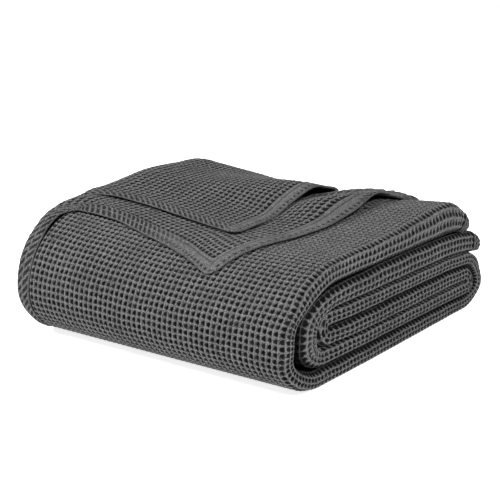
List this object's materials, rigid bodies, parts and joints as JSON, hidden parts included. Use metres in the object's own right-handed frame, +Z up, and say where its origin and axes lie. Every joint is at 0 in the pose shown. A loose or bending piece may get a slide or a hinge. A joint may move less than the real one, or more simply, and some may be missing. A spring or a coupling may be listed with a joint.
{
  "type": "folded waffle weave cotton blanket",
  "caption": "Bed blanket of waffle weave cotton folded into a thick pack, rounded along the front, with two hemmed corners lying over the top.",
  "frame": {"origin": "on the surface under the middle of the pack's outline box", "axes": "+X along the long front fold towards the rounded right end, +Y from the front fold to the back, +Z up"},
  "size_m": [0.4126, 0.465, 0.1702],
  "materials": {
    "waffle_cotton": "matte dark charcoal grey cotton in a deep waffle weave"
  },
  "bodies": {
    "root": {"blanket": "waffle_cotton"}
  },
  "joints": []
}
